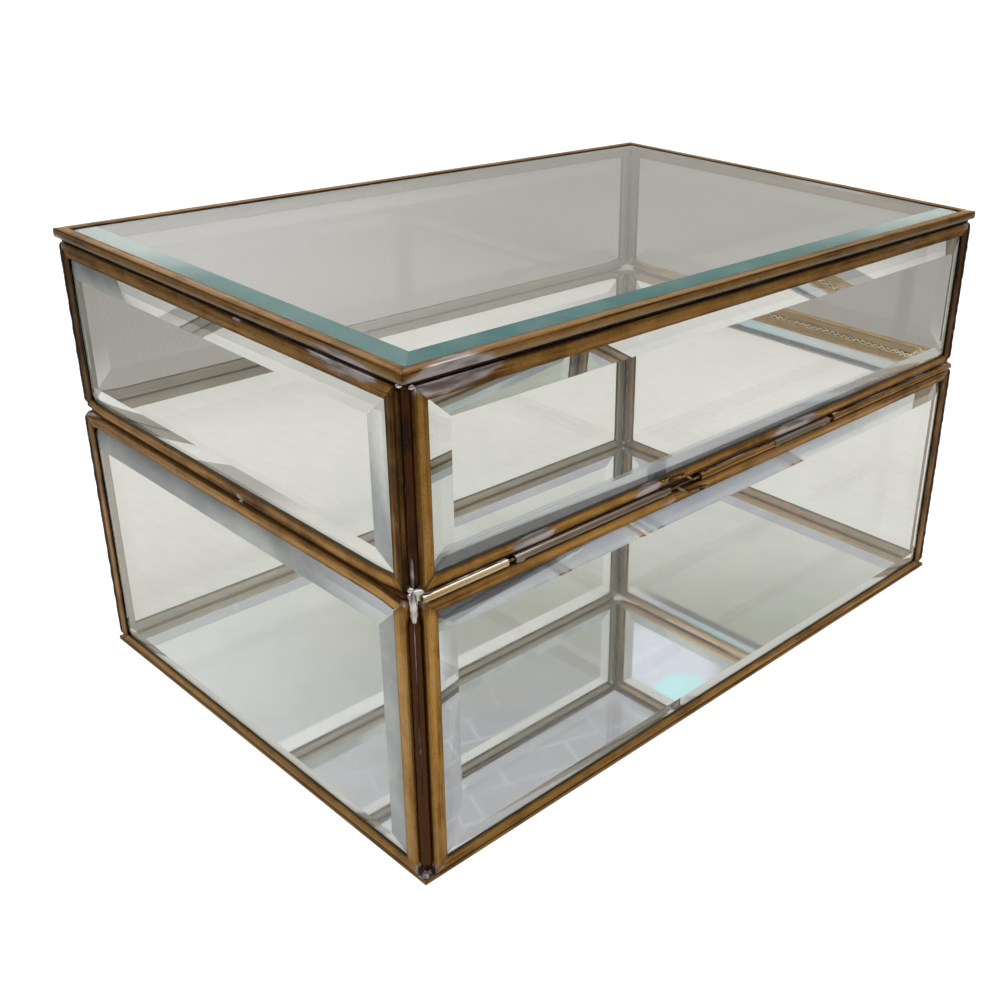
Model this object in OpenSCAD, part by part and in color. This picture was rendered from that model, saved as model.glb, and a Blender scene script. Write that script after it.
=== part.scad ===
/* [Box] */
// Outer width of the base, along the hinge
base_w = 300; // [260:1:420]
// Outer depth of the base, front to back
base_d = 200; // [150:1:300]
// Height of the base walls, above the mirror frame
base_wall_h = 98.9; // [60:0.1:160]
// Height of the lid walls
lid_wall_h = 61.7; // [36:0.1:100]
// How far the lid walls stand back from the faces of the base walls
lid_setback = 0.75; // [0.5:0.05:1]
// Gap between the lid walls and the top panel, which solder bridges
top_gap = 1.2; // [0.6:0.1:2]
// Distance from an outer corner to the two wall frames that meet there
corner_notch = 4.2; // [3.9:0.1:5]

/* [Channels] */
// Thickness of the brass channels, across the glass
came_t = 3.4; // [3:0.1:3.8]
// Width of the channels' legs over the glass
came_leg = 4.2; // [3.4:0.1:5]
// Width of the legs on the base's upright channels
post_leg = 5; // [3.4:0.1:5.4]
// Width of the legs along the top of the lid walls
lid_top_leg = 4.8; // [3.4:0.1:5.4]
// Sheet thickness of the wall channels
came_wall = 0.5; // [0.3:0.05:0.7]
// Sheet thickness of the mirror's channels
mirror_wall = 0.25; // [0.2:0.05:0.5]

/* [Glass] */
// Width of the bevel, from the edge of each pane
bevel_w = 10; // [8:0.5:16]
// How far the middle of a pane stands in front of its channels
glass_proud = 0.8; // [0.4:0.1:1.2]
// Clearance between the bevel and the lips of the channels
lip_gap = 0.2; // [0.1:0.05:0.4]
// Clearance between a pane's edge and the web of its channels
edge_gap = 0.3; // [0.1:0.05:0.6]
// Thickness of the mirror in the bottom
mirror_t = 1.5; // [1:0.1:3]
// How far the mirror frame stands back from the wall faces
mirror_setback = 0.3; // [0:0.05:0.6]

/* [Hinge] */
// Outer diameter of the hinge tubes
tube_d = 2.6; // [2.4:0.1:3]
// Bore of the hinge tubes
tube_bore = 1.1; // [1.1:0.02:1.18]
// Diameter of the hinge wires
pin_d = 1; // [0.9:0.02:1]
// Clearance between a hinge tube and the frames that it doesn't carry
tube_gap = 0.3; // [0.3:0.05:0.5]
// Depth of the hinge axis inside the back face of the base
axis_inset = 0.6; // [0.5:0.05:0.7]
// Distance from the base's corners to the ends of the hinge line
hinge_end = 4; // [2:0.5:10]
// Length of the lid's tube at the right end
lid_tube_1 = 31.5; // [20:0.5:36]
// Length of the base's long tube
base_tube_1 = 70; // [50:1:74]
// Opening in the hinge line where the two wires cross
wire_gap = 16.3; // [15:0.1:20]
// Length of the lid's middle tube
lid_tube_2 = 42; // [30:1:46]
// Length of the base's short tube
base_tube_2 = 35; // [20:1:38]
// Wide gap between neighbouring tubes
tube_break = 3; // [1:0.1:3.4]
// Close gap between the two middle tubes
tube_break_close = 0.5; // [0.4:0.1:1]
// How far each wire runs on straight past its last tube
wire_lead = 3.8; // [3:0.1:4]
// Length of the wires' bent tails, along the hinge
wire_tail = 14; // [10:0.5:16]

/* [Stay chain] */
// Outer diameter of the chain
chain_d = 1.6; // [1.2:0.1:1.8]
// Distance of the chain's eye on the base, behind the middle of the wall
eye_y = -20; // [-40:1:0]
// Height of the chain's ring above the lid's lower edge
ring_rise = 8; // [6:0.5:14]
// Mean radius of the ring and of the eye
ring_r = 1.3; // [1.2:0.05:1.3]
// Diameter of the wire of the ring and of the eye
ring_wire_d = 0.7; // [0.5:0.05:0.7]

/* [Rest studs] */
// Diameter of the studs that the closed lid rests on
stud_d = 1.4; // [1:0.1:1.8]
// Depth of the studs' middles inside the base's faces
stud_inset = 1.7; // [1.5:0.05:2.2]
// Clearance between the studs and the closed lid
stud_gap = 0.3; // [0.3:0.05:0.5]
// Distance of the front studs from the base's corners
stud_end = 30; // [12:1:60]
// Place of the right wall's stud, behind the middle of the wall
right_stud_y = 10; // [-40:1:40]
// Place of the left wall's stud, clear of the chain
left_stud_y = -60; // [-62:1:-48]

/* [Solder] */
// Depth of the solder inside the faces of the top panel's seam
seam_solder_inset = 1.2; // [0.8:0.1:1.4]
// Width of the solder in the top panel's seam
seam_solder_w = 1.2; // [0.8:0.1:1.4]
// Radius of the solder dabs that hold the wires' tails
dab_r = 0.9; // [0.8:0.05:1]
// Reach of the upright solder along the end webs at each corner
corner_bead = 1.4; // [0.8:0.1:2]
// Depth of the solder beds behind the hinge axis
bed_depth = 1; // [0.6:0.1:1.2]
// Length of tube that each bed leaves free at both its ends
bed_end = 1; // [0.5:0.5:4]

/* [Hidden] */
$fn = 48;
mirror_came_t = mirror_t + 2 * mirror_wall;
base_z = mirror_came_t;
base_top = base_z + base_wall_h;
seam = tube_d + 2 * tube_gap;
lid_z = base_top + seam;
lid_w = base_w - 2 * lid_setback;
lid_d = base_d - 2 * lid_setback;
lid_wall_top = lid_z + lid_wall_h;
top_z = lid_wall_top + top_gap;

// The bevel passes the widest lip with the named clearance, and its slope gives the pane's edge.
glass_t = came_t - came_wall + glass_proud;
widest_leg = max(came_leg, post_leg, lid_top_leg);
lip_reach = widest_leg - came_wall - edge_gap;
lip_glass_t = came_t - 2 * came_wall - lip_gap;
bevel_slope = (glass_t - lip_glass_t) / (bevel_w - lip_reach);
glass_edge_t = lip_glass_t - bevel_slope * lip_reach;

base_legs = [came_leg, came_leg, post_leg, post_leg];
lid_legs = [lid_top_leg, came_leg, came_leg, came_leg];
top_legs = [came_leg, came_leg, came_leg, came_leg];
base_mid = base_z + base_wall_h / 2;
lid_mid = lid_z + lid_wall_h / 2;

// Each panel: name, size, leg widths and names of its strips (upper, lower, right-hand and left-hand
// edge, seen from outside), middle of its inner face, and turn.
panels = [
  ["base_front", [base_w - 2 * corner_notch, base_wall_h], base_legs,
    ["top", "bottom", "right", "left"], [0, -base_d / 2 + came_t, base_mid], [90, 0, 0]],
  ["base_back", [base_w - 2 * corner_notch, base_wall_h], base_legs,
    ["top", "bottom", "left", "right"], [0, base_d / 2 - came_t, base_mid], [90, 0, 180]],
  ["base_right", [base_d - 2 * corner_notch, base_wall_h], base_legs,
    ["top", "bottom", "back", "front"], [base_w / 2 - came_t, 0, base_mid], [90, 0, 90]],
  ["base_left", [base_d - 2 * corner_notch, base_wall_h], base_legs,
    ["top", "bottom", "front", "back"], [-base_w / 2 + came_t, 0, base_mid], [90, 0, -90]],
  ["lid_front", [lid_w - 2 * corner_notch, lid_wall_h], lid_legs,
    ["top", "bottom", "right", "left"], [0, -lid_d / 2 + came_t, lid_mid], [90, 0, 0]],
  ["lid_back", [lid_w - 2 * corner_notch, lid_wall_h], lid_legs,
    ["top", "bottom", "left", "right"], [0, lid_d / 2 - came_t, lid_mid], [90, 0, 180]],
  ["lid_right", [lid_d - 2 * corner_notch, lid_wall_h], lid_legs,
    ["top", "bottom", "back", "front"], [lid_w / 2 - came_t, 0, lid_mid], [90, 0, 90]],
  ["lid_left", [lid_d - 2 * corner_notch, lid_wall_h], lid_legs,
    ["top", "bottom", "front", "back"], [-lid_w / 2 + came_t, 0, lid_mid], [90, 0, -90]],
  ["lid_top", [lid_w, lid_d], top_legs,
    ["back", "front", "right", "left"], [0, 0, top_z], [0, 0, 0]]
];

// The hinge line, from the base's right end to its left end
axis_y = base_d / 2 - axis_inset;
axis_z = base_top + seam / 2;
lid_1_right = base_w / 2 - hinge_end;
lid_1_left = lid_1_right - lid_tube_1;
base_1_right = lid_1_left - tube_break;
base_1_left = base_1_right - base_tube_1;
lid_2_right = base_1_left - wire_gap;
lid_2_left = lid_2_right - lid_tube_2;
base_2_right = lid_2_left - tube_break_close;
base_2_left = base_2_right - base_tube_2;
lid_3_right = base_2_left - tube_break;
lid_3_left = -base_w / 2 + hinge_end;

// Each tube: name, left end, right end
base_tubes = [
  ["hinge_tube_base_1", base_1_left, base_1_right],
  ["hinge_tube_base_2", base_2_left, base_2_right]
];
lid_tubes = [
  ["hinge_tube_lid_1", lid_1_left, lid_1_right],
  ["hinge_tube_lid_2", lid_2_left, lid_2_right],
  ["hinge_tube_lid_3", lid_3_left, lid_3_right]
];

// A wire leaves the axis outwards, passes the edge of its own frame and runs along that frame's leg,
// where a dab of solder fills the small stand-off.
wire_out = 1;
wire_step = 2.2;
wire_drop = 1.5;
tail_fall = 3;
tail_stand = 0.1;
tail_out = pin_d / 2 + tail_stand;
bend_swell = 0.08;
dab_from = 0.55;
dab_to = 0.85;
base_face_y = base_d / 2;
lid_face_y = lid_d / 2;
base_wire_x = base_1_left - wire_lead;
lid_wire_x = lid_2_right + wire_lead;
base_wire_path = [
  [lid_1_right, axis_y, axis_z],
  [base_wire_x, axis_y, axis_z],
  [base_wire_x - wire_step, base_face_y + wire_out, axis_z - wire_drop],
  [base_wire_x - 2 * wire_step, base_face_y + tail_out, base_top - wire_drop],
  [base_wire_x - wire_step - wire_tail, base_face_y + tail_out, base_top - tail_fall]
];
lid_wire_path = [
  [lid_3_left, axis_y, axis_z],
  [lid_wire_x, axis_y, axis_z],
  [lid_wire_x + wire_step, lid_face_y + wire_out, axis_z + wire_drop],
  [lid_wire_x + 2 * wire_step, lid_face_y + tail_out, lid_z + wire_drop],
  [lid_wire_x + wire_step + wire_tail, lid_face_y + tail_out, lid_z + tail_fall]
];

// The chain's ring stands on the inner leg of the lid's left wall, and its eye lies on the base's left wall.
ring_foot_t = 0.4;
ring_foot_r = 1.1;
ring_x = -lid_w / 2 + came_t;
ring_y = lid_d / 2 - corner_notch - came_leg / 2;
ring_z = lid_z + ring_rise;
eye_x = -base_w / 2 + came_t - ring_r - ring_wire_d / 2;

// The chain runs from the eye along the top of the base wall, and its slack hangs in a bight under the
// ring. The bight's points are measured from the wall's inner face, the ring and the wall's top.
chain_sides = 8;
chain_bight = 23;
chain_run_steps = 16;
chain_low = chain_d / 2 + 0.1;
chain_lead = 1;
chain_step = (ring_y - chain_bight - eye_y - chain_lead) / chain_run_steps;
base_inner_x = -base_w / 2 + came_t;
bight_points = [
  [-0.6, -19.5, 1.3], [1.2, -16.4, 2], [2.4, -13.6, 3.6], [2.4, -11.4, 5.6], [2.4, -9.2, 6.6],
  [2.4, -7.4, 5.2], [2.4, -6.6, 2.4], [2.4, -4.8, 0.6], [2.4, -2.4, 1.6], [2.4, -0.6, 5], [2.4, 0, 9.2]
];
chain_route = concat(
  [for (i = [0 : chain_run_steps]) [eye_x, eye_y + chain_lead + chain_step * i, base_top + chain_low]],
  [for (p = bight_points) [base_inner_x + p.x, ring_y + p.y, base_top + p.z]]
);

brass = [0.62, 0.46, 0.24];
dark_brass = [0.45, 0.33, 0.18];
glass = [0.8, 0.88, 0.87, 0.35];
silver = [0.78, 0.8, 0.82];
tin = [0.62, 0.6, 0.62];

function unit(v) = v / norm(v);

// Direction along the route at a point
function along(points, i) =
  unit(points[min(i + 1, len(points) - 1)] - points[max(i - 1, 0)]);

// Straight round rod between two points
module rod(from, to, d) {
  run = to - from;
  translate(from)
    rotate([0, acos(run.z / norm(run)), atan2(run.y, run.x)])
      cylinder(h = norm(run), d = d);
}

// Bent wire through a list of points. Its bends and its tip are a little thicker than its straights.
module wire(points, d) {
  for (i = [0 : len(points) - 2]) rod(points[i], points[i + 1], d);
  for (i = [1 : len(points) - 1]) translate(points[i]) sphere(d = d + bend_swell);
}

// Cross-section of a pane: flat back, full thickness in the middle, bevels to thin edges
module bevel_profile(span) {
  polygon([
    [-span / 2, 0], [span / 2, 0], [span / 2, glass_edge_t], [span / 2 - bevel_w, glass_t],
    [-span / 2 + bevel_w, glass_t], [-span / 2, glass_edge_t]
  ]);
}

// Pane with bevels on all four edges, its back on z = 0
module pane(w, h) {
  intersection() {
    rotate([90, 0, 0]) linear_extrude(h, center = true) bevel_profile(w);
    rotate([90, 0, 90]) linear_extrude(w, center = true) bevel_profile(h);
  }
}

// Outline of one mitred strip of a frame: 0 upper, 1 lower, 2 right-hand, 3 left-hand
function strip_outline(w, h, legs, edge) =
  let (right = w / 2 - legs[2], left = -w / 2 + legs[3], upper = h / 2 - legs[0], lower = -h / 2 + legs[1])
  edge == 0 ? [[-w / 2, h / 2], [left, upper], [right, upper], [w / 2, h / 2]] :
  edge == 1 ? [[-w / 2, -h / 2], [w / 2, -h / 2], [right, lower], [left, lower]] :
  edge == 2 ? [[w / 2, -h / 2], [w / 2, h / 2], [right, upper], [right, lower]] :
  [[-w / 2, h / 2], [-w / 2, -h / 2], [left, lower], [left, upper]];

// One strip of channel: web along the frame's outer edge, two legs over the glass
module came_strip(w, h, legs, edge, t, wall) {
  difference() {
    linear_extrude(t) polygon(strip_outline(w, h, legs, edge));
    translate([0, 0, t / 2]) cube([w - 2 * wall, h - 2 * wall, t - 2 * wall], center = true);
  }
}

module place_panel(panel) {
  translate(panel[4]) rotate(panel[5]) children();
}

module panel_glass(panel) {
  inset = 2 * (came_wall + edge_gap);
  color(glass)
    place_panel(panel)
      translate([0, 0, came_wall])
        pane(panel[1].x - inset, panel[1].y - inset);
}

module panel_came(panel, edge) {
  color(edge < 2 ? brass : dark_brass)
    place_panel(panel)
      came_strip(panel[1].x, panel[1].y, panel[2], edge, came_t, came_wall);
}

mirror_frame_w = base_w - 2 * mirror_setback;
mirror_frame_d = base_d - 2 * mirror_setback;

// Silvered plate in the slot of the bottom frame
module base_mirror() {
  inset = 2 * (mirror_wall + edge_gap);
  color(silver)
    translate([0, 0, mirror_came_t / 2])
      cube([mirror_frame_w - inset, mirror_frame_d - inset, mirror_t], center = true);
}

// Four mitred strips round the mirror, soldered into one frame
module mirror_frame() {
  legs = [came_leg, came_leg, came_leg, came_leg];
  color(brass)
    for (edge = [0 : 3])
      came_strip(mirror_frame_w, mirror_frame_d, legs, edge, mirror_came_t, mirror_wall);
}

module tube_place(tube) {
  translate([tube[1], axis_y, axis_z]) rotate([0, 90, 0]) children();
}

module hinge_tube(tube) {
  length = tube[2] - tube[1];
  color(brass)
    tube_place(tube)
      difference() {
        cylinder(h = length, d = tube_d);
        translate([0, 0, -1]) cylinder(h = length + 2, d = tube_bore);
      }
}

module hinge_wire_base() {
  color(tin) wire(base_wire_path, pin_d);
}

module hinge_wire_lid() {
  color(tin) wire(lid_wire_path, pin_d);
}

// Wire ring round the z axis
module wire_ring() {
  rotate_extrude() translate([ring_r, 0]) circle(d = ring_wire_d, $fn = 24);
}

// Ring on a small round foot, upright on the lid's inner leg
module chain_ring() {
  color(brass) {
    translate([ring_x + ring_r + ring_wire_d / 2, ring_y, ring_z]) rotate([90, 0, 0]) wire_ring();
    translate([ring_x, ring_y, ring_z])
      rotate([0, 90, 0]) cylinder(h = ring_foot_t, r = ring_foot_r);
  }
}

// Eye for the chain, flat on the top of the base wall
module chain_eye() {
  color(brass)
    translate([eye_x, eye_y, base_top + ring_wire_d / 2]) wire_ring();
}

// Chain, drawn as a tube along its route
module stay_chain() {
  count = len(chain_route);
  rings = [
    for (i = [0 : count - 1])
      let (t = along(chain_route, i), side = unit(cross(t, [1, 0, 0])), up = cross(side, t))
        for (k = [0 : chain_sides - 1])
          let (a = 360 * k / chain_sides)
            chain_route[i] + chain_d / 2 * (cos(a) * side + sin(a) * up)
  ];
  walls = [
    for (i = [0 : count - 2])
      for (k = [0 : chain_sides - 1])
        let (a = i * chain_sides + k, b = i * chain_sides + (k + 1) % chain_sides)
          each [[a, b, a + chain_sides], [b, b + chain_sides, a + chain_sides]]
  ];
  first_cap = [for (k = [1 : chain_sides - 2]) [0, k + 1, k]];
  last = (count - 1) * chain_sides;
  last_cap = [for (k = [1 : chain_sides - 2]) [last, last + k, last + k + 1]];
  color([0.8, 0.68, 0.42])
    polyhedron(points = rings, faces = concat(walls, first_cap, last_cap));
}

// Studs on the front and side walls, as high as the seam less the lid's clearance
module rest_studs() {
  places = [
    [base_w / 2 - stud_end, -base_d / 2 + stud_inset], [-base_w / 2 + stud_end, -base_d / 2 + stud_inset],
    [base_w / 2 - stud_inset, right_stud_y], [-base_w / 2 + stud_inset, left_stud_y]
  ];
  color(tin)
    for (p = places)
      translate([p.x, p.y, base_top]) cylinder(h = seam - stud_gap, d = stud_d);
}

// Upright solder between the end webs of the two wall frames that meet at a corner.
// The corner of the walls' outer faces is at the origin, and the box lies to -x and -y.
module corner_solder(h) {
  linear_extrude(h)
    polygon([
      [-corner_notch, -came_t], [-corner_notch, -came_t + corner_bead],
      [-came_t + corner_bead, -corner_notch], [-came_t, -corner_notch]
    ]);
}

module four_corners(w, d) {
  for (x = [0, 1]) {
    for (y = [0, 1]) {
      mirror([x, 0, 0]) mirror([0, y, 0]) translate([w / 2, d / 2, 0]) children();
    }
  }
}

// Bed of solder between a hinge tube and its own frame, which lies below the tube or above it
module tube_bed(tube, face_y, above) {
  back = axis_y - bed_depth;
  low = above ? axis_z + tube_d / 4 : base_top;
  high = above ? lid_z : axis_z - tube_d / 4;
  difference() {
    translate([tube[1] + bed_end, back, low])
      cube([tube[2] - tube[1] - 2 * bed_end, face_y - back, high - low]);
    translate([tube[1], axis_y, axis_z]) rotate([0, 90, 0]) cylinder(h = tube[2] - tube[1], d = tube_d);
  }
}

// Dab of solder round the last straight of a wire's tail, down to its frame's face
module tail_dab(path, face_y) {
  run = path[4] - path[3];
  reach = norm(run);
  difference() {
    rod(path[3] + dab_from * run, path[3] + dab_to * run, 2 * dab_r);
    rod(path[3], path[4], pin_d);
    translate([path[4].x, face_y - reach, path[4].z]) cube(2 * reach, center = true);
  }
}

module base_solder() {
  color(tin) {
    translate([0, 0, base_z]) four_corners(base_w, base_d) corner_solder(base_wall_h);
    for (tube = base_tubes) tube_bed(tube, base_face_y, false);
    tail_dab(base_wire_path, base_face_y);
  }
}

// The top panel's seam is filled all round, back from the faces.
module lid_solder() {
  outer = [lid_w - 2 * seam_solder_inset, lid_d - 2 * seam_solder_inset];
  inner = outer - [2 * seam_solder_w, 2 * seam_solder_w];
  color(tin) {
    translate([0, 0, lid_z]) four_corners(lid_w, lid_d) corner_solder(lid_wall_h);
    translate([0, 0, lid_wall_top])
      linear_extrude(top_gap)
        difference() {
          square(outer, center = true);
          square(inner, center = true);
        }
    for (tube = lid_tubes) tube_bed(tube, lid_face_y, true);
    tail_dab(lid_wire_path, lid_face_y);
  }
}

for (panel = panels) {
  panel_glass(panel);
  for (edge = [0 : 3])
    panel_came(panel, edge);
}
base_mirror();
mirror_frame();
for (tube = concat(base_tubes, lid_tubes))
  hinge_tube(tube);
hinge_wire_base();
hinge_wire_lid();
chain_ring();
chain_eye();
stay_chain();
rest_studs();
base_solder();
lid_solder();
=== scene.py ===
import bpy
import numpy as np
from mathutils import Matrix


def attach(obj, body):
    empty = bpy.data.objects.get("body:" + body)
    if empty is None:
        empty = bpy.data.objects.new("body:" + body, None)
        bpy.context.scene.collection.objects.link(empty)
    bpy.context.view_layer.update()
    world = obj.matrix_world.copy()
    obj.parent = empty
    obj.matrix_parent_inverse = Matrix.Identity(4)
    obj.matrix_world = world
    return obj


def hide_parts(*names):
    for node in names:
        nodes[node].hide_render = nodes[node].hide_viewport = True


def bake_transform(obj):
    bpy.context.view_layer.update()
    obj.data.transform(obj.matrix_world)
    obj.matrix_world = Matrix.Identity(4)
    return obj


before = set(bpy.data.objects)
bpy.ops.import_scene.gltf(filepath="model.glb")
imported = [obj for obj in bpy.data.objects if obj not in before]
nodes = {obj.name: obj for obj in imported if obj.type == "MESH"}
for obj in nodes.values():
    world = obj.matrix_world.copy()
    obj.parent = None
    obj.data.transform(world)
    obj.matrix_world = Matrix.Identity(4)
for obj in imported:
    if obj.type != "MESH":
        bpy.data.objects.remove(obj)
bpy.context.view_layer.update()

scene = bpy.context.scene
mm = 0.001
axisX, axisY, axisZ = np.eye(3)
print("casket: frame loaded,", len(nodes), "solids")

# the box's own sizes, in mm
box = {
    "width": 300.0, "depth": 200.0, "baseZ": 2.0, "baseWall": 98.9, "lidZ": 104.1, "lidWall": 61.7,
    "topZ": 167.0, "setback": 0.75, "notch": 4.2, "channelDepth": 3.4, "channelSheet": 0.5,
    "leg": 4.2, "postLeg": 5.0, "lidTopLeg": 4.8,
    "mirrorDepth": 2.0, "mirrorSheet": 0.25, "mirrorSetback": 0.3,
}
baseTop = box["baseZ"] + box["baseWall"]
lidWidth = box["width"] - 2 * box["setback"]
lidDepth = box["depth"] - 2 * box["setback"]
lidWallTop = box["lidZ"] + box["lidWall"]


def smooth(t):
    # 0 to 1 with level ends, t t (3 - 2 t)
    t = np.clip(t, 0.0, 1.0)
    return t * t * (3 - 2 * t)


def ripple(seed, *coordinates, waves=5, longest=60.0, shortest=8.0):
    # smooth noise from about -1 to 1: a sum of sines of seeded wavelengths, directions and phases
    draw = np.random.default_rng(seed)
    total = 0.0
    for i in range(waves):
        wavelength = longest * (shortest / longest) ** (i / max(waves - 1, 1))
        turn = draw.uniform(0, 2 * np.pi, len(coordinates))
        weight = draw.uniform(0.5, 1.0)
        phase = sum(c * np.cos(t) for c, t in zip(coordinates, turn)) * 2 * np.pi / wavelength
        total = total + weight * np.sin(phase + draw.uniform(0, 2 * np.pi))
    return total / (0.75 * waves)


def gridFaces(rows, columns, closeRows=False, closeColumns=False):
    # quads of a grid of rows x columns points, numbered row by row
    i = np.arange(rows if closeRows else rows - 1)[:, None]
    j = np.arange(columns if closeColumns else columns - 1)[None, :]
    nextI, nextJ = (i + 1) % rows, (j + 1) % columns
    quads = np.stack([i * columns + j, nextI * columns + j, nextI * columns + nextJ, i * columns + nextJ],
                     axis=-1)
    return quads.reshape(-1, 4)


def runOf(path):
    # distance along the path to each of its points
    return np.concatenate([[0], np.cumsum(np.linalg.norm(np.diff(path, axis=0), axis=1))])


def pointsAt(path, run, at):
    return np.stack([np.interp(at, run, path[:, k]) for k in range(3)], axis=1)


def makeMesh(name, points, faces, material, attributes=None, smoothShade=True):
    mesh = bpy.data.meshes.new(name)
    mesh.from_pydata(np.asarray(points).tolist(), [], faces)
    mesh.polygons.foreach_set("use_smooth", np.full(len(mesh.polygons), smoothShade))
    for key, values in (attributes or {}).items():
        values = np.asarray(values, np.float32)
        kind = "FLOAT" if values.ndim == 1 else "FLOAT_VECTOR"
        member = "value" if values.ndim == 1 else "vector"
        mesh.attributes.new(key, kind, "POINT").data.foreach_set(member, values.ravel())
    mesh.materials.append(material)
    mesh.validate()
    mesh.update()
    piece = bpy.data.objects.new(name, mesh)
    scene.collection.objects.link(piece)
    return piece


def carry(piece, body, slot, *replaced):
    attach(piece, body)
    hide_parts(*replaced)


# the photograph's camera, fitted to the box's corners and outline: metres, degrees, and mm for the lens
view = {
    "place": (0.3275, 0.3404, 0.2803), "azimuth": 131.42, "elevation": 25.27, "roll": 2.45,
    "lens": 44.07, "shiftX": -0.1435, "shiftY": -0.0144,
}
azimuth, elevation, roll = np.radians([view["azimuth"], view["elevation"], view["roll"]])
back = np.array([np.sin(azimuth) * np.cos(elevation), -np.cos(azimuth) * np.cos(elevation),
                 np.sin(elevation)])
right = np.cross([0, 0, 1], back)
right /= np.linalg.norm(right)
up = np.cross(back, right)
axes = (right * np.cos(roll) + up * np.sin(roll), -right * np.sin(roll) + up * np.cos(roll), back)
cameraData = bpy.data.cameras.new("camera")
cameraData.lens, cameraData.sensor_width = view["lens"], 36.0
cameraData.shift_x, cameraData.shift_y = view["shiftX"], view["shiftY"]
cameraData.clip_start, cameraData.clip_end = 0.01, 60.0
camera = bpy.data.objects.new("camera", cameraData)
cameraRows = [list(row) + [p] for row, p in zip(np.array(axes).T, view["place"])]
camera.matrix_world = Matrix(cameraRows + [[0, 0, 0, 1]])
scene.collection.objects.link(camera)
scene.camera = camera

# The floor and the sky are white to the camera. Through glass and in the mirror they are the room: a
# pale table round the box, taupe cloth beyond it, and a sky that changes with its height.
studio = {
    "floorSeen": (0.90, 0.90, 0.90), "floorRadius": 25.0, "floorDrop": 0.00002,
    "background": (1.0, 1.0, 1.0), "glow": 0.85, "glowStrength": 1.25,
    "tableNear": (0.63, 0.61, 0.57), "tableEnds": (0.20, 0.33), "tableHalf": (0.15, 0.10),
    "weaveScale": (260.0, 60.0, 1.0), "weaveShare": 0.08, "weaveTone": (0.2, 0.19, 0.18),
    "roomFar": (0.316, 0.295, 0.27), "clothTurns": (0.6, 2.2), "clothScale": 80.0, "clothShare": 0.16,
    "clothTone": (0.17, 0.16, 0.15),
    "sky": [(0.00, (0.40, 0.39, 0.37)), (0.40, (0.68, 0.66, 0.61)), (0.465, (0.62, 0.61, 0.55)),
            (0.52, (0.40, 0.40, 0.33)), (0.60, (0.41, 0.40, 0.425)), (0.80, (0.50, 0.50, 0.53)),
            (0.95, (0.70, 0.70, 0.72))],
    "brightSide": (0.5, -0.86, 0.0), "brightTone": (0.98, 0.97, 0.97), "brightEnds": (0.26, 0.56),
    "brightShare": 0.75, "brightAcross": (-0.05, -0.30),
    "window": (-0.6350, -0.5088, 0.5813), "windowTone": (0.62, 1.0, 1.04), "windowEnds": (0.99945, 0.99970),
    "halo": (-0.640, -0.532, 0.555), "haloTone": (0.80, 0.80, 0.90), "haloEnds": (0.9990, 0.99985),
    "grout": (0.56, 0.55, 0.60), "groutShare": 0.8, "tileScale": 5.0, "tileJoint": 0.016,
    "tileTurn": 0.35, "tilesFrom": (0.555, 0.60), "tilesTo": (0.80, 0.70),
}
scene.view_settings.view_transform = "Standard"


def startNodes(owner):
    owner.use_nodes = True
    owner.node_tree.nodes.clear()
    return owner.node_tree


def put(tree, kind, inputs=None, **settings):
    # adds a node; inputs gives each socket a value or a link by its name or number
    node = tree.nodes.new(kind)
    for key, value in settings.items():
        setattr(node, key, value)
    for key, value in (inputs or {}).items():
        if isinstance(value, bpy.types.NodeSocket):
            tree.links.new(value, node.inputs[key])
        else:
            node.inputs[key].default_value = value
    return node


def ramp(tree, factor, stops):
    node = put(tree, "ShaderNodeValToRGB", {"Fac": factor})
    elements = node.color_ramp.elements
    while len(elements) < len(stops):
        elements.new(0.5)
    for element, (place, tone) in zip(elements, stops):
        element.position = place
        element.color = (*tone, 1.0)
    return node.outputs["Color"]


def calc(tree, operation, *values, clamp=False):
    inputs = dict(enumerate(values))
    return put(tree, "ShaderNodeMath", inputs, operation=operation, use_clamp=clamp).outputs[0]


def spread(tree, value, low, high, toLow=0.0, toHigh=1.0):
    node = put(tree, "ShaderNodeMapRange", {
        "Value": value, "From Min": low, "From Max": high, "To Min": toLow, "To Max": toHigh},
        interpolation_type="SMOOTHSTEP")
    return node.outputs[0]


def blendTones(tree, factor, first, second):
    node = put(tree, "ShaderNodeMix", data_type="RGBA")
    for socket, value in ((node.inputs[0], factor), (node.inputs[6], first), (node.inputs[7], second)):
        if isinstance(value, bpy.types.NodeSocket):
            tree.links.new(value, socket)
        else:
            socket.default_value = (*value, 1.0) if hasattr(value, "__len__") else value
    return node.outputs[2]


def noise(tree, vector, scale, detail=4.0, roughness=0.6):
    inputs = {"Vector": vector, "Scale": scale, "Detail": detail, "Roughness": roughness}
    return put(tree, "ShaderNodeTexNoise", inputs).outputs["Fac"]


def objectPlace(tree):
    return put(tree, "ShaderNodeTexCoord").outputs["Object"]


def mapped(tree, place, scale=(1.0, 1.0, 1.0), turn=0.0):
    # place stretched by scale and turned about z
    inputs = {"Vector": place, "Scale": scale, "Rotation": (0.0, 0.0, turn)}
    return put(tree, "ShaderNodeMapping", inputs).outputs[0]


def field(tree, name, output="Fac"):
    return put(tree, "ShaderNodeAttribute", attribute_name=name).outputs[output]


def cosineTo(tree, direction, target):
    node = put(tree, "ShaderNodeVectorMath", {0: direction, 1: target}, operation="DOT_PRODUCT")
    return node.outputs["Value"]


def diffuse(tree, tone):
    return put(tree, "ShaderNodeBsdfDiffuse", {"Color": tone}).outputs[0]


def mixShaders(tree, share, first, second):
    return put(tree, "ShaderNodeMixShader", {0: share, 1: first, 2: second}).outputs[0]


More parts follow.
